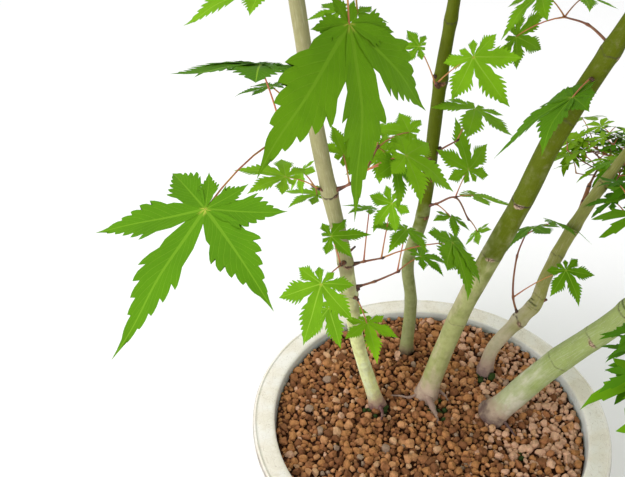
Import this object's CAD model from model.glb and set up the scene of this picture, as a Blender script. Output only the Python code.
import math

import bmesh
import bpy
import numpy as np
from mathutils.bvhtree import BVHTree
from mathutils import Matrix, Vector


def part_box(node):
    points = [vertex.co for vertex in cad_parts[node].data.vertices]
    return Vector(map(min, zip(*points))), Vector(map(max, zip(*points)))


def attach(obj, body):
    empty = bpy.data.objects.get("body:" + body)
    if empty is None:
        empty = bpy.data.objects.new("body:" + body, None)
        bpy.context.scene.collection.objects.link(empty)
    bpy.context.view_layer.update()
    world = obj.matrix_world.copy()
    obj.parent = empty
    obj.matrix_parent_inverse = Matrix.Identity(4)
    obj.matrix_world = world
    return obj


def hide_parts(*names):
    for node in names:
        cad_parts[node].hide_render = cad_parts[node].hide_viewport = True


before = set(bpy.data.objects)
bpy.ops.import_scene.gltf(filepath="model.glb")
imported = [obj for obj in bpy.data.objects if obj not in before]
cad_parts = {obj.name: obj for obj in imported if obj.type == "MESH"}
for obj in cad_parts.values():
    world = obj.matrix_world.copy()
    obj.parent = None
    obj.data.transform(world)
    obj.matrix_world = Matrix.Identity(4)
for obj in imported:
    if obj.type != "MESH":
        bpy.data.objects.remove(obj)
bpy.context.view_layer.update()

# A five-stemmed dwarf maple in a round glazed pot. Lengths are in millimetres up to addPiece.
mm = 0.001
potHigh = np.array(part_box("pot")[1]) / mm
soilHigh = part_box("soil")[1][2] / mm - 2.6  # the level that its lumps stand on


# Mesh helpers

# Makes an object at the origin from points and from arrays of faces, one array for each corner count.
def addPiece(name, points, faces, materials, slotOf=None, fields=None, smooth=True):
    mesh = bpy.data.meshes.new(name)
    corners = np.concatenate([group.ravel() for group in faces])
    sizes = np.concatenate([np.full(len(group), group.shape[1]) for group in faces])
    mesh.vertices.add(len(points))
    mesh.vertices.foreach_set("co", (points * mm).astype(np.float32).ravel())
    mesh.loops.add(len(corners))
    mesh.loops.foreach_set("vertex_index", corners.astype(np.int32))
    mesh.polygons.add(len(sizes))
    mesh.polygons.foreach_set("loop_start", (np.cumsum(sizes) - sizes).astype(np.int32))
    if slotOf is not None:
        mesh.polygons.foreach_set("material_index", slotOf.astype(np.int32))
    mesh.polygons.foreach_set("use_smooth", np.full(len(sizes), smooth))
    for key, values in (fields or {}).items():
        vector = values.ndim == 2
        layer = mesh.attributes.new(key, "FLOAT_VECTOR" if vector else "FLOAT", "POINT")
        layer.data.foreach_set("vector" if vector else "value", values.astype(np.float32).ravel())
    for material in materials:
        mesh.materials.append(material)
    mesh.update(calc_edges=True)
    mesh.validate()
    piece = bpy.data.objects.new(name, mesh)
    bpy.context.scene.collection.objects.link(piece)
    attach(piece, "root")
    return piece


# Quads between the rows and columns of a grid. A closed grid joins its last column to its first.
def gridFaces(rows, columns, closed):
    row, column = np.meshgrid(np.arange(rows - 1), np.arange(columns - (not closed)), indexing="ij")
    beside = (column + 1) % columns
    quads = [row * columns + column, row * columns + beside,
             (row + 1) * columns + beside, (row + 1) * columns + column]
    return np.stack(quads, -1).reshape(-1, 4)


# The same faces for each of many equal sets of points
def repeated(faces, count, step):
    return (faces[None] + step * np.arange(count)[:, None, None]).reshape(-1, faces.shape[1])


def unit(vectors):
    return vectors / np.maximum(np.linalg.norm(vectors, axis=-1, keepdims=True), 1e-9)


# Two directions square to a path at each of its rings, so that across x beside = the path's way
def squareTo(centres):
    way = unit(np.gradient(centres, axis=-2))
    steep = np.abs(unit(centres[..., -1:, :] - centres[..., :1, :])[..., 2:]) > 0.8
    helper = np.where(steep, [1.0, 0, 0], [0, 0, 1.0])
    across = unit(np.cross(helper, way))
    return across, np.cross(way, across)


# Closed tubes along many paths: centre + radius x (cos turn x across + sin turn x beside).
# centres is tubes x rings x 3 and radii is tubes x rings. Each tube has a point at both ends.
def tubes(centres, radii, sides):
    count, rings = centres.shape[:2]
    across, beside = squareTo(centres)
    turn = np.arange(sides) * 2 * np.pi / sides
    outward = np.cos(turn)[:, None] * across[:, :, None] + np.sin(turn)[:, None] * beside[:, :, None]
    walls = centres[:, :, None] + radii[:, :, None, None] * outward
    points = np.concatenate([walls.reshape(count, -1, 3), centres[:, [0, -1]]], 1)
    step = points.shape[1]
    ring = np.arange(sides)
    after = (ring + 1) % sides
    last = (rings - 1) * sides
    ends = np.concatenate([np.stack([np.full(sides, step - 2), after, ring], -1),
                           np.stack([np.full(sides, step - 1), last + ring, last + after], -1)])
    quads = repeated(gridFaces(rings, sides, True), count, step)
    return points.reshape(-1, 3), quads, repeated(ends, count, step)


# Joins batches of (points, quads, triangles, slot) into one mesh's points, faces and slots
def joined(batches):
    points, quads, ends, quadSlots, endSlots, start = [], [], [], [], [], 0
    for some, four, three, slot in batches:
        points.append(some)
        quads.append(four + start)
        ends.append(three + start)
        quadSlots.append(np.full(len(four), slot))
        endSlots.append(np.full(len(three), slot))
        start += len(some)
    slots = np.concatenate(quadSlots + endSlots)
    return np.concatenate(points), [np.concatenate(quads), np.concatenate(ends)], slots


# Paths and the growth rule

# A centripetal Catmull-Rom curve through points: share runs from 0 at the first to 1 at the last
def curveAt(points, share):
    p = np.asarray(points, float)
    spans = len(p) - 1
    p = np.vstack([2 * p[0] - p[1], p, 2 * p[-1] - p[-2]])
    place = np.asarray(share, float) * spans
    k = np.clip(np.floor(place).astype(int), 0, spans - 1)
    w = (place - k)[..., None]
    a, b, c, d = (p[k + step] for step in range(4))
    gaps = ((a, b), (b, c), (c, d))
    ab, bc, cd = (np.sqrt(np.linalg.norm(v - u, axis=-1, keepdims=True)) for u, v in gaps)
    leaving = ((b - a) / ab - (c - a) / (ab + bc) + (c - b) / bc) * bc
    arriving = ((c - b) / bc - (d - b) / (bc + cd) + (d - c) / cd) * bc
    bend = -3 * b + 3 * c - 2 * leaving - arriving
    return b + leaving * w + bend * w ** 2 + (2 * b - 2 * c + leaving + arriving) * w ** 3


def direction(heading, rise):
    heading, rise = np.radians(heading), np.radians(rise)
    return np.stack([np.cos(rise) * np.cos(heading), np.cos(rise) * np.sin(heading), np.sin(rise)], -1)


# The same run of numbers from 0 to 1 that the solid sprays draw from
def makeRandom(seed):
    state = seed

    def draw():
        nonlocal state
        state = (state * 1664525 + 1013904223) % 2 ** 32
        return state / 2 ** 32
    return draw


growth = {
    "internode": 27, "turnSpread": 26, "riseSpread": 14, "riseLoss": 4,
    "forkTurn": 52, "forkRise": 8, "forkStretch": 1.15,
    "stalkLength": 19, "stalkSpread": 0.2, "stalkTurn": 70, "stalkRise": 20, "endStalk": 1.5,
    "pairSetback": 2.6, "pairStagger": 1.1, "leafTurn": 62, "leastDip": 12, "dipSpread": 22,
    "rollSpread": 30, "lobe": 31, "lobeSpread": 0.24, "spacing": 23,
}


# A leaf is left out where another one of the spray already stands too close
def growLeaf(root, stalkHeading, heading, stretch, random, leaves):
    g = growth
    reach = stretch * g["stalkLength"] * (1 + g["stalkSpread"] * (random() - 0.5))
    at = root + direction(stalkHeading, g["stalkRise"]) * reach
    dip = g["leastDip"] + g["dipSpread"] * random()
    roll = g["rollSpread"] * (random() - 0.5)
    lobe = g["lobe"] * (1 + g["lobeSpread"] * (random() - 0.5))
    if all(np.linalg.norm(leaf["at"] - at) > g["spacing"] for leaf in leaves):
        leaves.append({"root": root, "at": at, "heading": heading, "dip": dip, "roll": roll, "lobe": lobe})


# A node bears two leaves, or a leaf and a side twig, and the last one bears three leaves
def growTwig(start, heading, rise, step, count, order, random, twigs, leaves):
    g = growth
    points = [start]
    for k in range(count):
        heading += g["turnSpread"] * (random() - 0.5)
        rise += g["riseSpread"] * (random() - 0.5) - g["riseLoss"]
        way = direction(heading, rise)
        node = points[k] + way * step
        points.append(node)
        if k == count - 1:
            growLeaf(node, heading, heading, g["endStalk"], random, leaves)
        for side in (-1, 1):
            if order == 0 and k < count - 1 and (k + (side > 0)) % 2 == 0:
                growTwig(node, heading + side * g["forkTurn"], rise + g["forkRise"],
                         step * g["forkStretch"], 1, 1, random, twigs, leaves)
            else:
                root = node + way * (-g["pairSetback"] - side * g["pairStagger"])
                growLeaf(root, heading + side * g["stalkTurn"], heading + side * g["leafTurn"],
                         1, random, leaves)
    twigs.append({"points": points, "order": order})


# Material helpers

def newMaterial(name, colour, roughness, **sockets):
    material = bpy.data.materials.new(name)
    material.use_nodes = True
    shader = material.node_tree.nodes["Principled BSDF"]
    shader.inputs["Base Color"].default_value = (*colour, 1)
    shader.inputs["Roughness"].default_value = roughness
    for key, value in sockets.items():
        shader.inputs[key.replace("_", " ")].default_value = value
    return material, material.node_tree, shader


def addNode(tree, kind, settings=None, **inputs):
    node = tree.nodes.new("ShaderNode" + kind)
    for key, value in (settings or {}).items():
        setattr(node, key, value)
    for key, value in inputs.items():
        socket = node.inputs[int(key[2:])] if key.startswith("in") and key[2:].isdigit() \
            else node.inputs[key.replace("_", " ")]
        if isinstance(value, bpy.types.NodeSocket):
            tree.links.new(value, socket)
        else:
            socket.default_value = value
    return node


def maths(tree, operation, a, b=0.0, c=None, clamp=False):
    inputs = {"in0": a, "in1": b}
    if c is not None:
        inputs["in2"] = c
    return addNode(tree, "Math", {"operation": operation, "use_clamp": clamp}, **inputs).outputs[0]


def noiseOf(tree, vector, scale, detail=3.0, roughness=0.55):
    node = addNode(tree, "TexNoise", Vector=vector, Scale=scale, Detail=detail, Roughness=roughness)
    return node.outputs["Fac"]


# A mask that climbs from 0 to 1 as value goes from low to high
def ramp(tree, value, low, high):
    node = addNode(tree, "MapRange", {"interpolation_type": "SMOOTHSTEP"},
                   Value=value, From_Min=low, From_Max=high)
    return node.outputs["Result"]


def blend(tree, mask, first, second, mode="MIX"):
    node = tree.nodes.new("ShaderNodeMix")
    node.data_type = "RGBA"
    node.blend_type = mode
    for socket, value in ((node.inputs[0], mask), (node.inputs[6], first), (node.inputs[7], second)):
        if isinstance(value, bpy.types.NodeSocket):
            tree.links.new(value, socket)
        else:
            socket.default_value = value if isinstance(value, float) else (*value[:3], 1)
    return node.outputs[2]


def field(tree, name, vector=False):
    node = tree.nodes.new("ShaderNodeAttribute")
    node.attribute_name = name
    return node.outputs["Vector" if vector else "Fac"]


def bumped(tree, shader, height, strength, distance):
    bump = addNode(tree, "Bump", Height=height, Strength=strength, Distance=distance)
    tree.links.new(bump.outputs["Normal"], shader.inputs["Normal"])


# A group that every finish uses: soft blotches and fine specks over a base colour
def makeMottleGroup():
    group = bpy.data.node_groups.new("mottle", "ShaderNodeTree")
    face = group.interface
    face.new_socket("Place", in_out="INPUT", socket_type="NodeSocketVector")
    face.new_socket("Base", in_out="INPUT", socket_type="NodeSocketColor")
    face.new_socket("Blotch", in_out="INPUT", socket_type="NodeSocketColor")
    face.new_socket("Speck", in_out="INPUT", socket_type="NodeSocketColor")
    for name, value in (("Blotch Scale", 60.0), ("Speck Scale", 600.0), ("Blotch Share", 0.5),
                        ("Speck Share", 0.1)):
        face.new_socket(name, in_out="INPUT", socket_type="NodeSocketFloat").default_value = value
    face.new_socket("Color", in_out="OUTPUT", socket_type="NodeSocketColor")
    face.new_socket("Mask", in_out="OUTPUT", socket_type="NodeSocketFloat")
    given = group.nodes.new("NodeGroupInput").outputs
    result = group.nodes.new("NodeGroupOutput").inputs
    blotch = noiseOf(group, given["Place"], given["Blotch Scale"], 4.0)
    blotchMask = maths(group, "MULTIPLY", ramp(group, blotch, 0.4, 0.66), given["Blotch Share"])
    speck = noiseOf(group, given["Place"], given["Speck Scale"], 1.0)
    speckMask = maths(group, "MULTIPLY", ramp(group, speck, 0.66, 0.74), given["Speck Share"])
    toned = blend(group, blotchMask, given["Base"], given["Blotch"])
    group.links.new(blend(group, speckMask, toned, given["Speck"]), result["Color"])
    group.links.new(blotch, result["Mask"])
    return group


mottleGroup = makeMottleGroup()


def mottled(tree, place, base, blotch, speck, blotchScale, speckScale, blotchShare=0.5, speckShare=0.3):
    node = tree.nodes.new("ShaderNodeGroup")
    node.node_tree = mottleGroup
    values = {"Place": place, "Base": base, "Blotch": blotch, "Speck": speck, "Blotch Scale": blotchScale,
              "Speck Scale": speckScale, "Blotch Share": blotchShare, "Speck Share": speckShare}
    for key, value in values.items():
        if isinstance(value, bpy.types.NodeSocket):
            tree.links.new(value, node.inputs[key])
        else:
            node.inputs[key].default_value = (*value, 1) if isinstance(value, tuple) else value
    return node.outputs["Color"], node.outputs["Mask"]


def objectPlace(tree):
    return tree.nodes.new("ShaderNodeTexCoord").outputs["Object"]


# Camera, light and floor

view = {
    "place": (-0.079, -0.371, 0.476), "lookDown": 35.9, "lens": 46.08,
    "worldLight": 0.95, "floorColour": (0.9, 0.9, 0.9), "floorSize": 4.0,
    "keyPower": 5.0, "keySize": 0.6, "keyPlace": (-0.35, 0.25, 1.3),
    "fillPower": 9.0, "fillSize": 0.9, "fillPlace": (-1.0, -0.75, 0.45),
}


def areaLight(name, place, size, power):
    light = bpy.data.lights.new(name, "AREA")
    light.size = size
    light.energy = power
    lamp = bpy.data.objects.new(name, light)
    lamp.location = place
    target = np.array([0, 0, 0.2]) - np.array(place)
    lamp.rotation_euler = (math.pi / 2 + math.atan2(target[2], math.hypot(*target[:2])), 0,
                           math.atan2(target[1], target[0]) - math.pi / 2)
    bpy.context.scene.collection.objects.link(lamp)


def setStage():
    lens = bpy.data.cameras.new("camera")
    lens.sensor_width = 36
    lens.lens = view["lens"]
    lens.clip_start = 0.02
    camera = bpy.data.objects.new("camera", lens)
    camera.location = view["place"]
    camera.rotation_euler = (math.radians(90 - view["lookDown"]), 0, 0)
    scene = bpy.context.scene
    scene.collection.objects.link(camera)
    scene.camera = camera
    scene.view_settings.view_transform = "Standard"
    world = bpy.data.worlds.new("studio")
    world.use_nodes = True
    sky = world.node_tree.nodes["Background"]
    sky.inputs["Color"].default_value = (1, 1, 1, 1)
    sky.inputs["Strength"].default_value = view["worldLight"]
    scene.world = world
    areaLight("key", view["keyPlace"], view["keySize"], view["keyPower"])
    areaLight("fill", view["fillPlace"], view["fillSize"], view["fillPower"])
    half = view["floorSize"] / 2
    mesh = bpy.data.meshes.new("floor")
    mesh.from_pydata([(-half, -half, 0), (half, -half, 0), (half, half, 0), (-half, half, 0)], [],
                     [(0, 1, 2, 3)])
    mesh.materials.append(newMaterial("paleFloor", view["floorColour"], 0.8)[0])
    floor = bpy.data.objects.new("floor", mesh)
    scene.collection.objects.link(floor)


setStage()
print("stage set")


# Pot

pot = {
    "lipWidth": 15, "lipDrop": 8, "bodyInset": 8, "footRadius": 88, "floorHeight": 10,
    "soilRadius": 104, "around": 192, "footRing": 5, "edgeRound": 2.2, "underRound": 2.4, "lipCrown": 0.35,
    "glaze": (0.83, 0.775, 0.655), "pale": (0.90, 0.875, 0.81), "stain": (0.47, 0.38, 0.24),
    "speck": (0.20, 0.13, 0.07), "edge": (0.13, 0.10, 0.08), "inside": (0.60, 0.66, 0.66),
}


# A rounded corner of a profile: a quarter of an ellipse from one point to the next
def corner(start, end, hollow, steps=6):
    turn = np.linspace(0, np.pi / 2, steps)
    a, b = np.array(start, float), np.array(end, float)
    first = 1 - np.cos(turn) if hollow else np.sin(turn)
    second = np.sin(turn) if hollow else 1 - np.cos(turn)
    return np.stack([a[0] + (b[0] - a[0]) * first, a[1] + (b[1] - a[1]) * second], -1)


# The pot is its profile (radius, height) turned round Z. The lip is crowned a little and
# hand-made: its radius and height waver by a few tenths of a millimetre round the rim.
def potProfile():
    p = pot
    rim, top = potHigh[0], potHigh[2]
    under, body, inner = top - p["lipDrop"], rim - p["bodyInset"], rim - p["lipWidth"]
    edge, lower, crowned = p["edgeRound"], p["underRound"], top - p["lipCrown"]
    u = np.linspace(0, 1, 26)[:, None]
    foot, low = np.array([p["footRadius"], edge]), np.array([p["footRadius"] + 12, 12])
    high, neck = np.array([body, under - 20]), np.array([body, under - 1.5])
    bowl = foot * (1 - u) ** 3 + 3 * low * u * (1 - u) ** 2 + 3 * high * u ** 2 * (1 - u) + neck * u ** 3
    ring = p["footRadius"] - p["footRing"]
    lip = np.linspace(rim - edge, inner + 1.8, 9)
    crown = p["lipCrown"] * np.sin(np.pi * (rim - lip) / p["lipWidth"])
    parts = [
        [[0, 1.2], [ring - 4, 1.2]], corner([ring - 4, 1.2], [ring - 2.8, 0], False, 4),
        [[p["footRadius"] - edge, 0]], corner([p["footRadius"] - edge, 0], [p["footRadius"], edge], False),
        bowl[1:], corner([body, under - 1.5], [body + 1.5, under], True, 4)[1:], [[rim - lower, under]],
        corner([rim - lower, under], [rim, under + lower], False)[1:],
        corner([rim, top - edge], [rim - edge, top], True),
        np.stack([lip, crowned + crown], -1),
        corner([inner + 1.8, crowned], [inner, top - edge], False)[1:],
        [[inner - 0.5, soilHigh + 1], [inner - 1.2, soilHigh - 6], [inner - 3, soilHigh - 16],
         [p["footRadius"], 14], [p["footRadius"] - 8, p["floorHeight"]], [0, p["floorHeight"]]],
    ]
    return np.concatenate([np.asarray(part, float) for part in parts])


def glazeMaterial():
    p = pot
    material, tree, shader = newMaterial("creamGlaze", p["glaze"], 0.3, Coat_Weight=0.5, Coat_Roughness=0.12)
    place = objectPlace(tree)
    base, mask = mottled(tree, place, p["glaze"], p["pale"], p["speck"], 55.0, 900.0, 0.85, 0.35)
    stains = ramp(tree, noiseOf(tree, place, 130.0, 6.0, 0.7), 0.56, 0.72)
    base = blend(tree, maths(tree, "MULTIPLY", stains, 0.22), base, p["stain"])
    crackle = addNode(tree, "TexVoronoi", {"feature": "DISTANCE_TO_EDGE"}, Vector=place, Scale=210.0)
    line = maths(tree, "SUBTRACT", 1.0, ramp(tree, crackle.outputs["Distance"], 0.0, 0.035))
    base = blend(tree, maths(tree, "MULTIPLY", line, 0.24), base, p["stain"])
    waver = maths(tree, "MULTIPLY_ADD", noiseOf(tree, place, 90.0), 0.9, 0.45)
    edge = maths(tree, "MULTIPLY", field(tree, "edge"), waver, clamp=True)
    base = blend(tree, edge, base, p["edge"])
    base = blend(tree, field(tree, "inside"), base, p["inside"])
    tree.links.new(base, shader.inputs["Base Color"])
    tree.links.new(maths(tree, "MULTIPLY_ADD", mask, 0.35, 0.12), shader.inputs["Roughness"])
    pits = maths(tree, "SUBTRACT", noiseOf(tree, place, 240.0, 4.0), maths(tree, "MULTIPLY", line, 0.25))
    bumped(tree, shader, pits, 0.25, 0.0006)
    return material


def makePot():
    profile = potProfile()
    around = pot["around"]
    turn = np.arange(around) * 2 * np.pi / around
    radius, height = profile[:, 0][:, None], profile[:, 1][:, None]
    rimShare = np.clip((height - 20) / 40, 0, 1)
    waver = rimShare * (0.35 * np.sin(2 * turn + 0.6) + 0.2 * np.sin(5 * turn + 2) + 0.12 * np.sin(9 * turn))
    lift = rimShare * (0.18 * np.sin(3 * turn + 1) + 0.1 * np.sin(7 * turn)) - 0.3 * rimShare
    points = np.stack([(radius + waver - 0.5 * rimShare) * np.cos(turn),
                       (radius + waver - 0.5 * rimShare) * np.sin(turn),
                       height + lift + 0 * turn], -1).reshape(-1, 3)
    rim, inner = potHigh[0], potHigh[0] - pot["lipWidth"]
    steps = len(profile)
    edge = np.exp(-((profile[:, 0] - rim) / 0.9) ** 2) * (profile[:, 1] > potHigh[2] - 5) \
        * np.exp(-((profile[:, 1] - potHigh[2] + 1.6) / 1.4) ** 2)
    past = np.arange(steps) > np.argmax(profile[:, 1])
    inside = np.clip((inner + 0.9 - profile[:, 0]) / 1.2, 0, 1) * past
    piece = addPiece("glazedPot", points, [gridFaces(steps, around, True)], [glazeMaterial()],
                     fields={"edge": np.repeat(edge, around), "inside": np.repeat(inside, around)})
    mergePoles(piece)
    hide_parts("pot")


# Closes a turned shape at the axis, where its end rings have no width
def mergePoles(piece):
    mesh = bmesh.new()
    mesh.from_mesh(piece.data)
    bmesh.ops.remove_doubles(mesh, verts=mesh.verts, dist=1e-6)
    mesh.to_mesh(piece.data)
    mesh.free()


makePot()
print("pot made")


# Soil: a rough bed and loose fired-clay granules on it

soil = {
    "seed": 5, "tries": 17000, "least": 0.88, "most": 3.05, "small": 1.72, "sizePower": 1.7, "gap": 0.82,
    "lower": 1800, "lowerDepth": 2.2, "highest": 4.5, "cuts": 6, "cutLeast": 0.58, "cutSpread": 0.3,
    "bedDrop": 1.4, "bedSink": 1.2, "bedRough": 0.35, "bedThick": 12, "tilt": 2.4, "pieceEdges": [-30, 30],
    "colours": [(0.49, 0.225, 0.085), (0.385, 0.165, 0.068), (0.585, 0.29, 0.13), (0.24, 0.10, 0.042),
                (0.64, 0.38, 0.21), (0.36, 0.25, 0.175), (0.70, 0.42, 0.27)],
    "shares": [0.29, 0.25, 0.15, 0.21, 0.05, 0.03, 0.02], "dustyMost": 0.6, "dustyFrom": 44, "dustyFade": 9,
    "bed": (0.075, 0.028, 0.014), "moss": (0.036, 0.062, 0.014),
    "mossPlaces": [(-36, 10, 5), (8, 12, 5), (46, 41, 4), (9, 4, 3), (60, -30, 2)],
}


# How the soil rolls: low waves, and a slight rise towards the back
def soilHeight(x, y):
    waves = 0.9 * np.sin(x / 17 + 1) * np.cos(y / 21) + 0.5 * np.sin(x / 7 + y / 9)
    wall = np.clip((np.hypot(x, y) - 90) / 15, 0, 1)
    return soilHigh - soil["bedDrop"] + waves * (1 - wall) + soil["tilt"] * np.clip(y / 100, -0.2, 1)


# A granule: a ball of six bowed squares, cut flat on a few random sides
def granuleTemplate():
    side = np.linspace(-1, 1, 4)
    u, v = np.meshgrid(side, side, indexing="ij")
    one = np.ones_like(u)
    squares = [np.stack(three, -1) for three in ((one, u, v), (-one, v, u), (v, one, u),
                                                 (u, -one, v), (u, v, one), (v, u, -one))]
    points = np.stack(squares).reshape(-1, 3)
    faces = repeated(gridFaces(4, 4, False), 6, 16)
    grid = np.round(points * 9).astype(int)
    _, first, back = np.unique(grid, axis=0, return_index=True, return_inverse=True)
    return unit(points[first]), back.ravel()[faces]


# Whatever lies beyond a side's plane is pressed back onto it: p - max(0, p . n - d) n
def cutFlat(lumps, random):
    for _ in range(soil["cuts"]):
        normal = unit(random.normal(size=(len(lumps), 1, 3)))
        away = soil["cutLeast"] + soil["cutSpread"] * random.random((len(lumps), 1, 1))
        beyond = (lumps * normal).sum(-1, keepdims=True) - away
        lumps = lumps - np.maximum(beyond, 0) * normal
    return lumps


def scatterGranules(random):
    s = soil
    radius = s["least"] + (s["most"] - s["least"]) * random.random(s["tries"]) ** s["sizePower"]
    radius[s["tries"] // 4:] = np.minimum(radius[s["tries"] // 4:], s["small"])
    turn = random.random(s["tries"]) * 2 * np.pi
    out = (pot["soilRadius"] - radius) * np.sqrt(random.random(s["tries"]))
    x, y = out * np.cos(turn), out * np.sin(turn)
    order = np.argsort(-radius, kind="stable")
    kept = []
    for k in order:
        near = np.array(kept, int)
        apart = np.hypot(x[near] - x[k], y[near] - y[k])
        if np.all(apart > s["gap"] * (radius[near] + radius[k])):
            kept.append(k)
    kept = np.array(kept)
    lower = np.setdiff1d(np.arange(s["tries"]), kept)[:s["lower"]]
    chosen = np.concatenate([kept, lower])
    depth = np.concatenate([np.zeros(len(kept)), np.full(len(lower), s["lowerDepth"])])
    return x[chosen], y[chosen], radius[chosen], depth


def turned(vectors, random):
    q = unit(random.normal(size=(len(vectors), 4)))
    w, a, b, c = q.T
    rows = [[1 - 2 * (b * b + c * c), 2 * (a * b - c * w), 2 * (a * c + b * w)],
            [2 * (a * b + c * w), 1 - 2 * (a * a + c * c), 2 * (b * c - a * w)],
            [2 * (a * c - b * w), 2 * (b * c + a * w), 1 - 2 * (a * a + b * b)]]
    return np.einsum("ijn,nmj->nmi", np.array(rows), vectors)


def gritMaterial(name, colour):
    material, tree, shader = newMaterial(name, colour, 0.9, Specular_IOR_Level=0.12)
    place = objectPlace(tree)
    dark = tuple(0.55 * c for c in colour)
    light = tuple(min(1, 1.5 * c + 0.03) for c in colour)
    base, mask = mottled(tree, place, colour, dark, light, 260.0, 1500.0, 0.6, 0.6)
    tree.links.new(base, shader.inputs["Base Color"])
    bumped(tree, shader, noiseOf(tree, place, 900.0, 4.0, 0.7), 0.8, 0.0006)
    return material


def makeSoil():
    s = soil
    random = np.random.default_rng(s["seed"])
    rings, around = 60, 160
    radius = np.linspace(0, pot["soilRadius"] + 0.6, rings)[:, None]
    turn = np.arange(around) * 2 * np.pi / around
    x, y = radius * np.cos(turn), radius * np.sin(turn)
    rough = random.normal(size=x.shape) * s["bedRough"]
    rough[0] = 0
    top = np.stack([x, y, soilHeight(x, y) - s["bedSink"] + rough], -1)
    under = np.stack([x[::-1] * 0.98, y[::-1] * 0.98, np.full_like(x, soilHigh - s["bedThick"])], -1)
    points = np.concatenate([top, under]).reshape(-1, 3)
    faces = gridFaces(2 * rings, around, True)[:, ::-1]
    bed = addPiece("soilBed", points, [faces], [gritMaterial("darkBed", s["bed"])])
    mergePoles(bed)
    template, quads = granuleTemplate()
    x, y, radius, depth = scatterGranules(random)
    count = len(x)
    lumps = np.repeat(template[None], count, 0)
    phase = random.random((count, 1, 3)) * 6.3
    push = 1.06 + 0.14 * np.sin(2.3 * lumps + phase).sum(-1, keepdims=True) / 1.7
    stretch = 1.05 + 0.5 * (random.random((count, 1, 3)) - 0.5)
    knobs = 1 + 0.05 * random.normal(size=(count, len(template), 1))
    lumps = turned(cutFlat(lumps * push, random) * knobs * stretch, random)
    height = soilHeight(x, y) + 0.35 * radius + 1.1 * (random.random(count) - 0.35) - depth
    centres = np.stack([x, y, np.minimum(height, soilHigh + s["highest"])], -1)
    points = (centres[:, None] + lumps * radius[:, None, None]).reshape(-1, 3)
    kinds = random.choice(len(s["colours"]), count, p=np.array(s["shares"]) / sum(s["shares"]))
    dusty = s["dustyMost"] / (1 + np.exp((s["dustyFrom"] - x) / s["dustyFade"]))
    kinds[random.random(count) < dusty] = len(s["colours"]) - 1
    materials = [gritMaterial(f"grit{k}", colour) for k, colour in enumerate(s["colours"])]
    for mx, my, spread in s["mossPlaces"]:
        near = np.exp(-((x - mx) ** 2 + (y - my) ** 2) / (2 * spread ** 2))
        kinds[(near * random.random(count) > 0.2) & (radius < 3)] = len(materials)
    materials.append(gritMaterial("moss", s["moss"]))
    # the granules lie in three pieces, so that none has too many faces
    third = np.digitize(x, s["pieceEdges"])
    lumps = points.reshape(count, -1, 3)
    pieces = [bed]
    for part, label in enumerate(("Left", "Middle", "Right")):
        here = third == part
        pieces.append(addPiece("soilGrit" + label, lumps[here].reshape(-1, 3),
                               [repeated(quads, here.sum(), len(template))], materials,
                               slotOf=np.repeat(kinds[here], len(quads)), smooth=False))
        print("granules", label, here.sum(), "triangles", 2 * here.sum() * len(quads))
    for piece in pieces:
        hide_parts("soil")


makeSoil()
print("soil made")


# Stems and boughs

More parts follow.
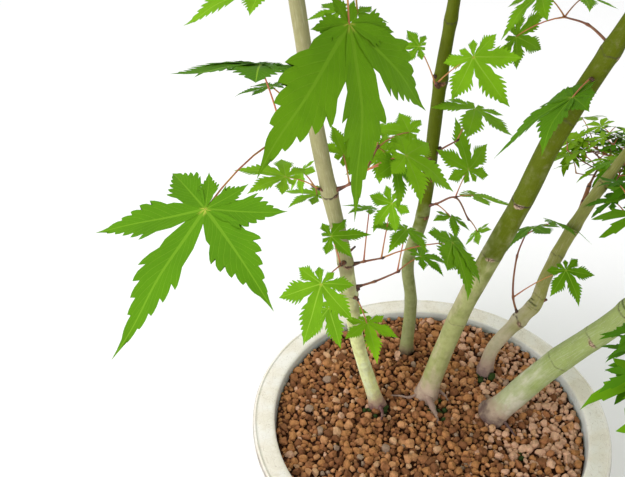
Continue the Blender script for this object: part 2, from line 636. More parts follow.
# Each stem: the same path and radii as its solid. A node is its height, the heading of its scar,
# how much it swells and how dark its ring is. Colours go from low to high up the stem.
stems = {
    "left": {"foot": (-34, 14), "way": [(-50, 8, 120), (-60, 3, 190), (-75, -4, 268), (-86, -11, 348),
                                        (-99, -21, 440)],
             "thick": 4.5, "thin": 2, "flare": 1.6, "spur": -60,
             "nodes": [(136, -60, 0.03, 0.25), (163, -20, 0.12, 0.5), (188, -75, 0.14, 0.9),
                       (240, -35, 0.12, 1.0), (305, 150, 0.08, 0.6), (362, -60, 0.1, 0.7),
                       (409, 40, 0.15, 0.8)],
             "low": (0.72, 0.76, 0.33), "high": (0.325, 0.30, 0.145), "turn": (0.1, 0.36),
             "streak": (0.49, 0.46, 0.29), "streaks": 0.5, "pale": (0.74, 0.80, 0.50),
             "scarPale": (0.42, 0.27, 0.17), "scarDark": (0.16, 0.08, 0.05),
             "footColour": (0.16, 0.075, 0.075), "footHeight": 13, "collar": (0.40, 0.25, 0.20)},
    "back": {"foot": (-9, 67), "way": [(-8, 71, 101), (-12, 74, 133), (-5, 77, 167), (-3, 79, 190),
                                       (0, 86, 266), (4, 90, 315), (12, 97, 420)],
             "thick": 4.4, "thin": 1.8, "flare": 1.4, "spur": -90,
             "nodes": [(101, 160, 0.06, 0.1), (172, -60, 0.06, 0.7), (201, -60, 0.08, 0.8),
                       (213, -110, 0.06, 0.9), (266, -80, 0.16, 0.9), (303, 84, 0.12, 0.7),
                       (348, 150, 0.12, 0.7)],
             "low": (0.29, 0.315, 0.13), "high": (0.102, 0.128, 0.001), "turn": (0.16, 0.38),
             "streak": (0.18, 0.21, 0.03), "streaks": 0.12, "pale": (0.30, 0.32, 0.15),
             "scarPale": (0.36, 0.17, 0.09), "scarDark": (0.15, 0.06, 0.03),
             "footColour": (0.05, 0.025, 0.02), "footHeight": 8, "collar": (0.20, 0.15, 0.09)},
    "main": {"foot": (1, 23), "way": [(8, 22, 92), (17, 21, 134), (29, 19, 177), (43, 18, 222),
                                      (53, 16, 263), (82, 9, 345), (104, 2, 415)],
             "thick": 6.5, "thin": 2, "flare": 2.6, "spur": -70,
             "nodes": [(128, -60, 0.03, 0.25), (181, -110, 0.03, 0.5), (222, -122, 0.035, 1.0),
                       (276, 60, 0.03, 0.5), (316, -40, 0.1, 0.6), (348, -8, 0.14, 0.7),
                       (382, -88, 0.14, 0.7)],
             "low": (0.355, 0.37, 0.15), "high": (0.106, 0.134, 0.001), "turn": (0.16, 0.45),
             "streak": (0.25, 0.28, 0.07), "streaks": 0.12, "pale": (0.47, 0.43, 0.25),
             "scarPale": (0.58, 0.42, 0.30), "scarDark": (0.13, 0.07, 0.045),
             "footColour": (0.30, 0.20, 0.16), "footHeight": 16, "collar": (0.53, 0.40, 0.31)},
    "right-back": {"foot": (47, 46), "way": [(50, 47, 76), (66, 50, 101), (76, 53, 114), (81, 58, 133),
                                             (99, 65, 182), (134, 78, 245)],
                   "thick": 4.5, "thin": 1.8, "flare": 1.8, "spur": -150,
                   "nodes": [(101, -110, 0.34, 0.8), (111, 60, 0.2, 0.3), (120, -20, 0.06, 0.4),
                             (150, 40, 0.1, 0.5), (171, 62, 0.14, 0.7), (201, -24, 0.12, 0.6)],
                   "low": (0.52, 0.45, 0.30), "high": (0.28, 0.28, 0.07), "turn": (0.12, 0.42),
                   "streak": (0.55, 0.51, 0.36), "streaks": 0.25, "pale": (0.50, 0.45, 0.31),
                   "scarPale": (0.40, 0.27, 0.18), "scarDark": (0.16, 0.09, 0.055),
                   "footColour": (0.20, 0.13, 0.12), "footHeight": 15, "collar": (0.42, 0.30, 0.24)},
    "right-front": {"foot": (46, 5), "way": [(73, -6, 112), (102, -20, 166), (122, -32, 228)],
                    "thick": 8, "thin": 2, "flare": 2.5, "spur": -150,
                    "nodes": [(118, 10, 0.02, 0.4), (145, -120, 0.03, 0.5), (172, -82, 0.12, 0.7),
                              (200, 90, 0.12, 0.6)],
                    "low": (0.42, 0.44, 0.26), "high": (0.28, 0.34, 0.11), "turn": (0.06, 0.4),
                    "streak": (0.58, 0.59, 0.50), "streaks": 0.2, "pale": (0.58, 0.55, 0.43),
                    "scarPale": (0.45, 0.32, 0.22), "scarDark": (0.16, 0.09, 0.055),
                    "footColour": (0.11, 0.065, 0.06), "footHeight": 14, "collar": (0.38, 0.27, 0.20)},
}

# Each bough: its stem, the height it leaves at, heading, rise and length
boughs = {
    "front": ("left", 412, -75, 12, 72), "left": ("left", 409, 172, 25, 32),
    "left-back": ("left", 424, 98, 24, 44), "back": ("back", 303, 84, 22, 36),
    "back-left": ("back", 348, 150, 24, 50), "back-right": ("back", 361, 22, 22, 40),
    "main-right": ("main", 348, -8, 20, 34), "main-front": ("main", 382, -88, 20, 60),
    "main-centre": ("main", 396, -172, 28, 55), "right-back": ("right-back", 171, 62, 22, 38),
    "right-front": ("right-front", 172, -82, 20, 32),
}

# Bare roots over the soil: the stem they leave, the points they pass, and their radius at each end
roots = [("main", [(1, 18, 60), (4, 9, 57), (6, 2, 55.4), (7, -3, 53)], 3.2, 0.8),
         ("main", [(-3, 22, 58), (-11, 18, 57), (-18, 20, 56.5), (-25, 22, 54.5)], 1.5, 0.4),
         ("main", [(6, 26, 58), (13, 22, 56.5), (17, 15, 54)], 1.8, 0.6),
         ("left", [(-33, 10, 58), (-31, 5, 56), (-32, 0, 54)], 1.6, 0.6),
         ("right-front", [(50, -3, 58), (54, -9, 56), (57, -14, 54)], 1.3, 0.5)]

limb = {"taperPower": 4, "flareHeight": 9, "ringCrowding": 1.2, "sides": 40, "rings": 160,
        "boughThick": 2.4, "boughThin": 1.3, "boughSag": 8, "boughSides": 16, "boughRings": 40,
        "boughNodes": (0.3, 0.62, 0.93), "nodeColour": (0.06, 0.04, 0.03)}


def stemPath(stem):
    return [(*stem["foot"], soilHigh + 0.3), *stem["way"]]


# The share of a rising path at which it reaches a height
def shareAt(path, height):
    shares = np.linspace(0, 1, 800)
    return np.interp(height, curveAt(path, shares)[:, 2], shares)


def boughPath(bough):
    parent, height, heading, rise, length = bough
    path = stemPath(stems[parent])
    root = curveAt(path, shareAt(path, height))
    middle = root + direction(heading, rise - limb["boughSag"]) * length / 2
    return [root, middle, root + direction(heading, rise) * length]


# Bark colour: low to high tones, pale streaks and patches, dark rings and two-toned corky scars at
# the nodes, and at the foot a tan collar over a dark edge
def barkMaterial(name, tone):
    material, tree, shader = newMaterial(name, tone["low"], 0.6, Specular_IOR_Level=0.12)
    place = field(tree, "barkPlace", True)
    waver = maths(tree, "MULTIPLY_ADD", noiseOf(tree, place, 0.09), 0.5, -0.25)
    up = maths(tree, "ADD", field(tree, "rise"), waver)
    base = blend(tree, ramp(tree, up, *tone["turn"]), tone["low"], tone["high"])
    stretched = addNode(tree, "Mapping", Vector=place, Scale=(1.5, 1.5, 0.12))
    lines = noiseOf(tree, stretched.outputs[0], 1.0, 3.0, 0.6)
    streak = maths(tree, "MULTIPLY", ramp(tree, lines, 0.5, 0.68), tone["streaks"])
    base = blend(tree, streak, base, tone["streak"])
    patch = addNode(tree, "Mapping", Vector=place, Scale=(0.1, 0.1, 0.035))
    pale = maths(tree, "SUBTRACT", 1.0, ramp(tree, up, tone["turn"][0], tone["turn"][1] + 0.1))
    patches = ramp(tree, noiseOf(tree, patch.outputs[0], 1.0, 4.0, 0.6), 0.46, 0.62)
    base = blend(tree, maths(tree, "MULTIPLY", patches, pale), base, tone["pale"])
    dark = tuple(0.62 * c for c in tone["high"])
    base, mask = mottled(tree, place, base, dark, tone["streak"], 0.22, 1.6, 0.2, 0.3)
    cork = blend(tree, ramp(tree, noiseOf(tree, place, 0.9), 0.42, 0.58), tone["scarDark"], tone["scarPale"])
    frayed = maths(tree, "ADD", field(tree, "scar"), maths(tree, "MULTIPLY", lines, 0.25))
    base = blend(tree, ramp(tree, frayed, 0.25, 0.7), base, cork)
    broken = maths(tree, "MULTIPLY", ramp(tree, noiseOf(tree, place, 0.5), 0.3, 0.55), 1.3)
    lineMask = maths(tree, "MULTIPLY", field(tree, "nodeLine"), broken, clamp=True)
    base = blend(tree, lineMask, base, limb["nodeColour"])
    footNoise = maths(tree, "MULTIPLY_ADD", noiseOf(tree, place, 0.3), 0.8, -0.4)
    foot = maths(tree, "ADD", field(tree, "footShade"), footNoise)
    collar = maths(tree, "MULTIPLY", ramp(tree, foot, 0.02, 0.75), 0.85)
    base = blend(tree, collar, base, tone["collar"])
    base = blend(tree, ramp(tree, foot, 0.62, 1.15), base, tone["footColour"])
    tree.links.new(base, shader.inputs["Base Color"])
    tree.links.new(maths(tree, "MULTIPLY_ADD", mask, 0.3, 0.4), shader.inputs["Roughness"])
    relief = maths(tree, "ADD", lines, maths(tree, "MULTIPLY", noiseOf(tree, place, 1.1, 3.0), 0.5))
    bumped(tree, shader, relief, 0.35, 0.0005)
    return material


# A stem: a tube round its path. Its radius is the solid's, times low waves, with a swollen
# ring and a fine dark crease at each node, a raised scar on one side, and root ridges at the foot.
def stemSurface(stem):
    path = stemPath(stem)
    low, high = path[0][2], path[-1][2]
    length = np.linalg.norm(np.subtract(path[-1], path[0]))
    heights = low + (high - low) * np.linspace(0, 1, limb["rings"]) ** limb["ringCrowding"]
    close = np.array([-4, -2.5, -1.5, -1, -0.6, -0.3, 0, 0.3, 0.6, 1, 1.5, 2.5, 4])
    rows = [heights, *(node[0] + close for node in stem["nodes"])]
    heights = np.unique(np.clip(np.concatenate(rows), low, high))
    centres = curveAt(path, shareAt(path, heights))
    climb = ((heights - low) / (high - low))[:, None]
    heights = heights[:, None]
    centres[0, 2] -= 2.5
    across, beside = squareTo(centres[None])
    across, beside = across[0], beside[0]
    across[0], beside[0] = (1, 0, 0), (0, 1, 0)
    turn = np.arange(limb["sides"]) * 2 * np.pi / limb["sides"]
    outward = np.cos(turn)[:, None] * across[:, None] + np.sin(turn)[:, None] * beside[:, None]
    spread = stem["flare"] * np.exp(-climb * length / limb["flareHeight"])
    spur = outward @ direction(stem["spur"], 0)
    radius = stem["thin"] + (stem["thick"] - stem["thin"]) * (1 - climb ** limb["taperPower"])
    ridges = 1 + 0.5 * spur + 0.35 * np.sin(3 * turn + stem["foot"][0]) + 0.2 * np.sin(5 * turn + 1)
    waves = 0.02 * np.sin(2 * turn + heights / 15) + 0.015 * np.sin(heights / 6)
    waves = waves + 0.01 * np.sin(3 * turn - heights / 9)
    radius = radius * (1 + waves) + spread * ridges
    scar, line = np.zeros_like(radius), np.zeros_like(radius)
    for height, heading, swell, dark in stem["nodes"]:
        off = heights - height
        tilt = off + 1.1 * np.sin(turn + height) + 0.4 * np.sin(3 * turn + 2 * height)
        tilt = tilt + 0.25 * np.sin(7 * turn)
        crease = np.exp(-(tilt / 0.42) ** 2)
        radius = radius * (1 + swell * np.exp(-(off / 4) ** 2) - 0.05 * dark * crease)
        line = np.maximum(line, dark * crease)
        facing = np.clip(outward @ direction(heading, 0), 0, 1) ** 8
        spot = facing * np.exp(-((tilt + 0.6) / 1.5) ** 2)
        scar = np.maximum(scar, spot * min(1, 1.4 * dark))
        radius = radius + 0.45 * spot * dark * (1 + 0.5 * np.sin(9 * turn + 3 * off))
    around = np.stack([np.cos(turn) * np.ones_like(climb), np.sin(turn) * np.ones_like(climb)], -1)
    level = np.broadcast_to(heights[..., None], (*radius.shape, 1))
    place = np.concatenate([around * radius.mean(), level], -1)
    points = centres[:, None] + radius[..., None] * outward
    rise = np.broadcast_to(climb, radius.shape)
    foot = np.broadcast_to(np.exp(-((heights - low) / stem["footHeight"]) ** 2), radius.shape)
    fields = {"barkPlace": place.reshape(-1, 3), "rise": rise.ravel(), "scar": scar.ravel(),
              "nodeLine": line.ravel(), "footShade": foot.ravel()}
    return points, fields, centres


def closeEnds(points, fields, centres, sides):
    rings = len(centres)
    flat = np.concatenate([points.reshape(-1, 3), centres[[0, -1]]])
    ring = np.arange(sides)
    after = (ring + 1) % sides
    last = (rings - 1) * sides
    count = rings * sides
    ends = np.concatenate([np.stack([np.full(sides, count), after, ring], -1),
                           np.stack([np.full(sides, count + 1), last + ring, last + after], -1)])
    fields = {key: np.concatenate([values, values[[0, -1]]]) for key, values in fields.items()}
    return flat, [gridFaces(rings, sides, True), ends], fields


# A stem's bare roots, in the colour of its foot
def rootBatch(name):
    batches = []
    for stem, points, thick, thin in roots:
        if stem == name:
            share = np.linspace(0, 1, 22)
            radii = (thick + (thin - thick) * share ** 0.7) * (1 + 0.12 * np.sin(share * 23))
            batches.append((*tubes(curveAt(points, share)[None], radii[None], 12), 0))
    return joined(batches) if batches else None


def makeStem(name, stem):
    points, fields, centres = stemSurface(stem)
    flat, faces, fields = closeEnds(points, fields, centres, limb["sides"])
    label = name.title().replace("-", "")
    material = barkMaterial("bark" + label, stem)
    pieces = [addPiece("stemBark" + label, flat, faces, [material], fields=fields)]
    rootMesh = rootBatch(name)
    if rootMesh:
        spots = rootMesh[0]
        plain = np.zeros(len(spots))
        fields = {"barkPlace": spots, "rise": plain, "scar": plain, "nodeLine": plain,
                  "footShade": plain + 1.1}
        pieces.append(addPiece("roots" + label, spots, rootMesh[1], [material], fields=fields))
    for piece in pieces:
        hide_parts("stem-" + name)


youngWood = {
    "low": (0.25, 0.19, 0.06), "high": (0.27, 0.11, 0.05), "turn": (0.1, 0.5),
    "streak": (0.40, 0.25, 0.15), "streaks": 0.4, "pale": (0.33, 0.22, 0.1),
    "scarPale": (0.4, 0.25, 0.15), "scarDark": (0.15, 0.08, 0.05),
    "footColour": (0.12, 0.075, 0.045), "collar": (0.2, 0.12, 0.07),
}


# Boughs: each narrows evenly from a swollen heel on its stem and swells a little at its nodes
def makeBoughs():
    material = barkMaterial("boughBark", youngWood)
    sides = limb["boughSides"]
    for name, bough in boughs.items():
        path = boughPath(bough)
        shares = np.linspace(0, 1, limb["boughRings"])
        centres = curveAt(path, shares)
        share = shares[:, None]
        radius = limb["boughThick"] + (limb["boughThin"] - limb["boughThick"]) * share
        turn = np.arange(sides) * 2 * np.pi / sides
        radius = radius * (1 + 0.35 * np.exp(-share * bough[4] / 4))
        radius = radius * (1 + 0.03 * np.sin(3 * turn + share * 9))
        line = np.zeros_like(radius)
        for at in limb["boughNodes"]:
            off = (share - at) * bough[4]
            radius = radius * (1 + 0.12 * np.exp(-(off / 1.6) ** 2))
            line = np.maximum(line, np.exp(-(off / 0.7) ** 2) * np.ones_like(turn))
        across, beside = (side[0] for side in squareTo(centres[None]))
        outward = np.cos(turn)[:, None] * across[:, None] + np.sin(turn)[:, None] * beside[:, None]
        points = centres[:, None] + radius[..., None] * outward
        along = np.broadcast_to((share * bough[4])[..., None], (*radius.shape, 1))
        circle = np.broadcast_to(np.stack([2 * np.cos(turn), 2 * np.sin(turn)], -1), (*radius.shape, 2))
        fields = {"barkPlace": np.concatenate([circle, along], -1).reshape(-1, 3),
                  "rise": np.broadcast_to(share, radius.shape).ravel(), "scar": np.zeros(radius.size),
                  "nodeLine": line.ravel(), "footShade": np.zeros(radius.size)}
        flat, faces, fields = closeEnds(points, fields, centres, sides)
        piece = addPiece("boughBark" + name.title().replace("-", ""), flat, faces, [material], fields=fields)
        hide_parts("bough-" + name)


for stemName, stemValues in stems.items():
    makeStem(stemName, stemValues)
makeBoughs()
print("stems and boughs made")


# Leaves

leaf = {
    "seed": 7, "tintShift": 0.25, "toneSpread": 0.07,
    "angles": [-147, -107, -56, 0, 56, 107, 147], "lengths": [0.28, 0.52, 0.78, 1, 0.78, 0.52, 0.28],
    "widths": [0.24, 0.2, 0.16, 0.132, 0.16, 0.2, 0.24], "outerHalf": 28,
    "toothFrom": 0.33, "toothSpan": 0.52, "forward": 0.5, "barb": 0.3, "rib": 0.011,
    "droop": 0.2, "fold": 0.16, "tipCurl": 0.06, "bend": 5, "splay": 3,
    "tints": [(0.082, 0.225, 0.004), (0.066, 0.19, 0.004), (0.12, 0.28, 0.004), (0.05, 0.15, 0.004),
              (0.18, 0.34, 0.005)],
    "ribColour": (0.25, 0.44, 0.03), "ribShare": 0.3, "footColour": (0.42, 0.46, 0.06),
    "deep": (0.063, 0.190, 0.003), "bright": (0.26, 0.52, 0.012), "roughness": 0.65, "gloss": 0.06,
}

# The three kinds of leaf: teeth on each side of a lobe and their depth, how wide a lobe is at its
# foot, where it is widest, how fast it narrows, by how many degrees it laps over the next lobe at
# the foot, how late it swells, its rows below, on and above a tooth (place and height), and its
# columns. The crown's leaf is plain, as it is repeated many hundreds of times.
leafKinds = {
    "large": {"teeth": 5, "depth": 0.15, "base": 0.3, "widest": 0.43, "fall": 1.3, "wide": 1,
              "overlap": 4, "swell": 1.8,
              "foot": [0, 0.06, 0.12, 0.18, 0.25], "tooth": [(0, -1), (0.3, 0.1), (0.6, 0.75), (0.86, 1)],
              "tip": [0.86, 0.93, 1], "columns": [-1, -0.5, -0.05, 0.05, 0.5, 1]},
    "small": {"teeth": 6, "depth": 0.2, "base": 0.55, "widest": 0.5, "fall": 1.15, "wide": 1.35,
              "overlap": 1.5, "swell": 1.3,
              "foot": [0, 0.06, 0.12, 0.18, 0.25], "tooth": [(0, -1), (0.45, 0.4), (0.84, 1)],
              "tip": [0.86, 0.93, 1], "columns": [-1, -0.5, -0.04, 0.04, 0.5, 1]},
    "crown": {"teeth": 2, "depth": 0.17, "base": 0.62, "widest": 0.46, "fall": 1.1, "wide": 1.3,
              "overlap": 0, "swell": 1,
              "foot": [0, 0.2], "tooth": [(0, -1), (0.8, 1)], "tip": [1], "columns": [-1, 0, 1]},
}


# Half the width of a lobe at a share of its length: it swells from its base to the widest place as
# a sine and narrows to a long point. At the leaf's foot lobes meet on the line between them.
def lobeHalfWidth(share, width, kind, halfAngle):
    swell = np.sin(np.pi / 2 * np.minimum(share / kind["widest"], 1)) ** kind["swell"]
    rising = kind["base"] + (1 - kind["base"]) * swell
    falling = np.clip((1 - share) / (1 - kind["widest"]), 0, 1) ** kind["fall"]
    free = width * kind["wide"] * np.where(share < kind["widest"], rising, falling)
    return np.minimum(share * math.tan(math.radians(halfAngle)), free)


# One leaf with a middle lobe of length 1: lobe by lobe a grid along the rib (rows) and across
# it (columns). From near the widest place on, the edge bears forward-pointing teeth.
def leafTemplate(kind):
    teeth, columns = kind["teeth"], kind["columns"]
    pitch = leaf["toothSpan"] / teeth
    starts = leaf["toothFrom"] + pitch * np.arange(teeth)
    place, height = np.array(kind["tooth"], float).T
    rows = np.concatenate([kind["foot"], (starts[:, None] + pitch * place).ravel(), kind["tip"]])
    tooth = np.concatenate([0 * np.array(kind["foot"]), np.tile(height, teeth), 0 * np.array(kind["tip"])])
    toothed = (tooth != 0) * 1.0
    angles, lengths = leaf["angles"], leaf["lengths"]
    halves = [leaf["outerHalf"], *(np.diff(angles) / 2 + kind["overlap"]), leaf["outerHalf"]]
    along, aside, share, lobe, across = [], [], [], [], []
    for k, (angle, length) in enumerate(zip(angles, lengths)):
        for column in columns:
            outer, thin = abs(column) == 1, abs(column) < 0.2
            across.append(np.full(len(rows), 0.3 * abs(column)))
            spot = rows + 0.25 * pitch * np.sign(column) * toothed * (not thin)
            half = lobeHalfWidth(spot, leaf["widths"][k], kind, halves[k + 1] if column > 0 else halves[k])
            width = half * (1 + kind["depth"] * tooth * outer * (spot < 0.9))
            free = np.clip((spot - 0.15) / 0.25, 0, 1)
            lean = leaf["forward"] * half * abs(column) * free * (1 + leaf["barb"] * tooth * outer)
            offset = np.minimum(leaf["rib"] * (1.15 - rows), half) if thin else width * abs(column)
            along.append((spot + lean * (not thin)) * length)
            aside.append(np.sign(column) * offset * length)
            share.append(rows)
            lobe.append(np.full(len(rows), k))
    shape = (len(angles), len(columns), len(rows))
    along, aside, share, lobe, across = (np.array(values).reshape(shape).transpose(0, 2, 1).ravel()
                                         for values in (along, aside, share, lobe, across))
    one = gridFaces(len(rows), len(columns), False)[:, ::-1]
    faces = repeated(one, len(angles), len(rows) * len(columns))
    middle = (len(columns) - 1) / 2 - 0.5  # the faces between the two columns along the rib
    slots = np.tile(np.arange(len(one)) % (len(columns) - 1) == middle, len(angles)).astype(int)
    return {"along": along, "aside": aside, "share": share, "lobe": lobe, "across": across,
            "faces": faces, "slots": slots}


# Each leaf's frame: X along its middle lobe, Y to its left, Z out of its upper face
def leafFrames(heading, dip, roll):
    middle = direction(heading, -dip)
    level = direction(heading + 90, 0 * dip)
    upward = np.cross(middle, level)
    roll = np.radians(roll)[:, None]
    left = level * np.cos(roll) + upward * np.sin(roll)
    return np.stack([middle, left, np.cross(middle, left)], 1)


# Many leaves at once. In the leaf's own frame a point stands at its place along and beside its
# lobe's rib, z = fold x its distance from the rib - droop x the square of its distance from the foot.
def leafPoints(template, leaves, random):
    count = len(leaves)
    keys = ("at", "heading", "dip", "roll", "lobe")
    values = {key: np.array([one[key] for one in leaves], float) for key in keys}
    lobe = template["lobe"]
    own = np.array([one.get("own", 1) for one in leaves], float)[:, None]
    scale = np.array([one.get("scale", [1] * 7) for one in leaves])
    scale = scale * (1 + 0.08 * own * random.normal(size=(count, 7)))
    turn = np.array([one.get("turn", [0] * 7) for one in leaves], float)
    turn = turn + leaf["splay"] * own * random.normal(size=(count, 7))
    bend = leaf["bend"] * own * random.normal(size=(count, 7))
    along = template["along"] * scale[:, lobe]
    aside = template["aside"] * scale[:, lobe] * np.array([one.get("wide", 1) for one in leaves])[:, None]
    angle = np.radians(np.array(leaf["angles"])[lobe] + turn[:, lobe] + bend[:, lobe] * template["share"])
    x = along * np.cos(angle) - aside * np.sin(angle)
    y = along * np.sin(angle) + aside * np.cos(angle)
    reach = np.hypot(x, y)
    droop = leaf["droop"] * (1 + 0.25 * random.normal(size=(count, 1)))
    curl = leaf["tipCurl"] * random.normal(size=(count, 7))[:, lobe]
    wave = 0.02 * np.sin(9 * reach + random.random((count, 1)) * 6.3) * reach
    z = leaf["fold"] * np.abs(aside) - droop * reach ** 2 + curl * template["share"] ** 3 * reach + wave
    local = np.stack([x, y, z], -1) * values["lobe"][:, None, None]
    frames = leafFrames(values["heading"], values["dip"], values["roll"])
    return values["at"][:, None] + np.einsum("nmk,nkj->nmj", local, frames)


# A coarse fan of ten triangles that stands for a leaf when crossings are looked for
def leafFan(one):
    angles = np.radians([0, 27, 56, 81, 107, 180, -107, -81, -56, -27])
    lengths = np.array([1, 0.2, 0.78, 0.2, 0.52, 0.05, 0.52, 0.2, 0.78, 0.2])
    rim = np.stack([lengths * np.cos(angles), lengths * np.sin(angles), -leaf["droop"] * lengths ** 2], -1)
    local = np.concatenate([[[0, 0, 0]], rim]) * one["lobe"]
    leafFrame = leafFrames(np.array([one["heading"]]), np.array([one["dip"]]), np.array([one["roll"]]))[0]
    points = one["at"] + local @ leafFrame
    faces = [(0, k, k % 10 + 1) for k in range(1, 11)]
    return points, BVHTree.FromPolygons(points.tolist(), faces)


def limbTree():
    batches = []
    paths = [(stemPath(stem), stem["thick"], stem["thin"]) for stem in stems.values()]
    paths += [(boughPath(bough), limb["boughThick"], limb["boughThin"]) for bough in boughs.values()]
    for path, thick, thin in paths:
        shares = np.linspace(0, 0.97, 20)
        radii = thin + (thick - thin) * (1 - shares ** 4)
        batches.append((*tubes(curveAt(path, shares)[None], radii[None], 8), 0))
    points, faces, _ = joined(batches)
    polygons = [tuple(face) for group in faces for face in group.tolist()]
    return BVHTree.FromPolygons(points.tolist(), polygons)


woodTree = limbTree()
standing = []


# Keeps a leaf only where it crosses no limb and no leaf that stands already
def tryLeaf(one, keepAnyway=False):
    points, tree = leafFan(one)
    if not keepAnyway:
        if tree.overlap(woodTree):
            return False
        for other, otherTree, size in standing:
            if np.linalg.norm(other - one["at"]) < size + one["lobe"] and tree.overlap(otherTree):
                return False
    standing.append((one["at"], tree, one["lobe"]))
    return True


# Sprays whose every leaf has its own place, as in the solids: the twig's points, then each leaf's
# centre, the heading, dip and roll of its middle lobe, that lobe's length, and its twig point
placedSprays = {
    "spray-left-front": ("left", [(-78, -6, 286), (-84, -42, 302), (-91, -78, 316)],
        [(-118, -129, 314, -121, 22, 5, 60, 2), (-99, -81, 349, -148, -12, 16, 38, 2),
         (-96, -60, 330, 120, 15, 0, 22, 1)]),
    "spray-left-high": ("left", [(-70, -2, 241), (-75, -5, 244), (-78, -4, 245)],
        [(-93, -12, 256, 155, -5, 0, 30, 1), (-85, 12, 245, -94, 5, 45, 18, 2),
         (-76, 14, 228, 148, 6, 8, 25, 2)]),
    "spray-left-upper": ("left", [(-70, -2, 240), (-59, -3, 246), (-51, 0, 252), (-44, 8, 262)],
        [(-36, -4, 260, -72, 34, -32, 21, 2), (-30, -5, 265, -2, 26, 17, 28, 2),
         (-39, 13, 257, -173, 24, -20, 21, 3), (-24, 33, 258, 160, 0, -24, 19, 3),
         (-39, 50, 248, 95, 0, -16, 20, 3), (-62, 14, 254, 58, -15, 45, 20, 1)]),
    "spray-left-middle": ("left", [(-60, 2, 190), (-62, -7, 194), (-63, -9, 196)],
        [(-69, -14, 219, 6, -5, 14, 23, 2), (-74, -22, 192, -116, 44, 4, 36, 1)]),
    "spray-left-right": ("left", [(-60, 3, 185), (-49, 1, 190), (-39, -1, 194)],
        [(-34, 7, 227, -168, 50, -30, 23, 2), (3, 8, 199, -68, 20, -36, 37, 2),
         (-46, 10, 221, 155, 0, 20, 19, 1)]),
    "spray-left-lower": ("left", [(-57, 5, 166), (-42, 1, 175), (-29, 0, 183)],
        [(-25, 4, 211, -115, -14, -10, 26, 2), (-14, 14, 184, 20, 15, 0, 24, 2)]),
    "spray-left-low": ("left", [(-56, 5, 161), (-52, -2, 164), (-52, -4, 165)],
        [(-47, -19, 160, -77, 8, -6, 25, 2)]),
    "spray-left-behind": ("left", [(-55, 6, 156), (-54, 14, 158), (-55, 17, 158)],
        [(-68, 28, 131, -81, 2, 30, 34, 2)]),
    "spray-back-upper": ("back", [(-2, 81, 212), (3, 78, 221), (12, 74, 230)],
        [(22, 79, 250, -106, -6, -12, 37, 2)]),
    "spray-back-lower": ("back", [(-4, 78, 178), (3, 73, 183), (14, 67, 192), (24, 66, 176)],
        [(21, 70, 211, 105, -50, 20, 36, 2), (26, 70, 192, -8, 12, -40, 34, 2),
         (13, 68, 176, -87, -5, -19, 20, 1), (32, 68, 164, -103, -5, 45, 18, 3)]),
    "spray-back-high": ("back", [(0, 85, 262), (-4, 78, 266), (-4, 76, 268)],
        [(-16, 78, 291, 165, 5, -35, 18, 1), (15, 70, 288, -30, 50, 80, 36, 2)]),
    "spray-main-back": ("main", [(72, 11, 318), (68, 42, 318), (62, 64, 314)],
        [(41, 81, 296, 18, 25, 80, 28, 2), (46, 60, 330, -160, 35, 10, 32, 2),
         (76, 80, 320, 60, 20, 0, 30, 2)]),
    "spray-main-front": ("main", [(66, 13, 300), (62, 4, 304), (60, 0, 306)],
        [(51, -6, 299, 170, 36, 8, 48, 2)]),
    "spray-right-node": ("right-back", [(66, 50, 101), (60, 54, 118), (58, 56, 152), (60, 54, 171)],
        [(63, 50, 180, -138, -10, 30, 33, 3), (80, 62, 176, -12, 12, -25, 28, 3),
         (88, 44, 150, -60, 35, 10, 26, 1)]),
}

# Sprays that grow by the rule: limb, the height on it (or its tip), heading, rise, nodes, seed
grownSprays = {
    "crown-left-top": ("stem-left", None, 140, 42, 2, 11),
    "crown-front": ("bough-front", None, -35, 12, 2, 12),
    "crown-left": ("bough-left", None, 188, 4, 2, 13),
    "crown-left-back": ("bough-left-back", None, 118, 10, 3, 14),
    "crown-back-top": ("stem-back", None, 70, 50, 2, 15),
    "crown-back": ("bough-back", None, 88, 2, 3, 16),
    "crown-back-left": ("bough-back-left", None, 158, 12, 2, 17),
    "crown-back-right": ("bough-back-right", None, 34, 6, 3, 18),
    "crown-main-top": ("stem-main", None, 20, 48, 2, 19),
    "crown-main-right": ("bough-main-right", None, -4, 2, 3, 20),
    "crown-main-front": ("bough-main-front", None, -72, 6, 3, 21),
    "crown-centre": ("bough-main-centre", None, 178, 22, 2, 22),
    "crown-right-back-top": ("stem-right-back", None, 20, 38, 2, 23),
    "crown-right-back": ("bough-right-back", None, 66, 4, 3, 24),
    "crown-right-top": ("stem-right-front", None, -8, 34, 2, 25),
    "crown-right-front": ("bough-right-front", None, -66, 4, 3, 26),
    "crown-left-inner": ("stem-left", 431, 12, 18, 2, 27),
    "crown-back-inner": ("stem-back", 386, -66, 16, 2, 28),
    "crown-main-back": ("stem-main", 404, 98, 18, 2, 29),
    "crown-main-low": ("stem-main", 365, -48, 8, 2, 30),
    "crown-right": ("stem-right-back", 201, -24, 8, 2, 31),
}

# The leaves at their own places in crown-front: the two of its solid, and two small ones behind them
frontLeaves = [(-66, -98, 372, -64, 60, -23, 65), (-98, -72, 378, -150, 15, 0, 30),
               (-68.5, -72, 367, 180, 8, -10, 16), (-62.5, -80, 369, 5, 10, 8, 15)]

# How bright each placed spray's leaves are (0 deep to 1 yellow-green)
sprayTone = {
    "spray-left-front": 0.11, "crown-front": 0.44, "spray-left-upper": 0.7,
    "spray-left-right": 0.53, "spray-left-lower": 0.55, "spray-left-low": 0.9,
    "spray-left-middle": 0.48, "spray-left-high": 0.8, "spray-left-behind": 0.5,
    "spray-back-lower": 0.75, "spray-back-upper": 0.75, "spray-back-high": 0.55,
    "spray-main-back": 0.58, "spray-main-front": 0.17, "spray-right-node": 0.3,
}

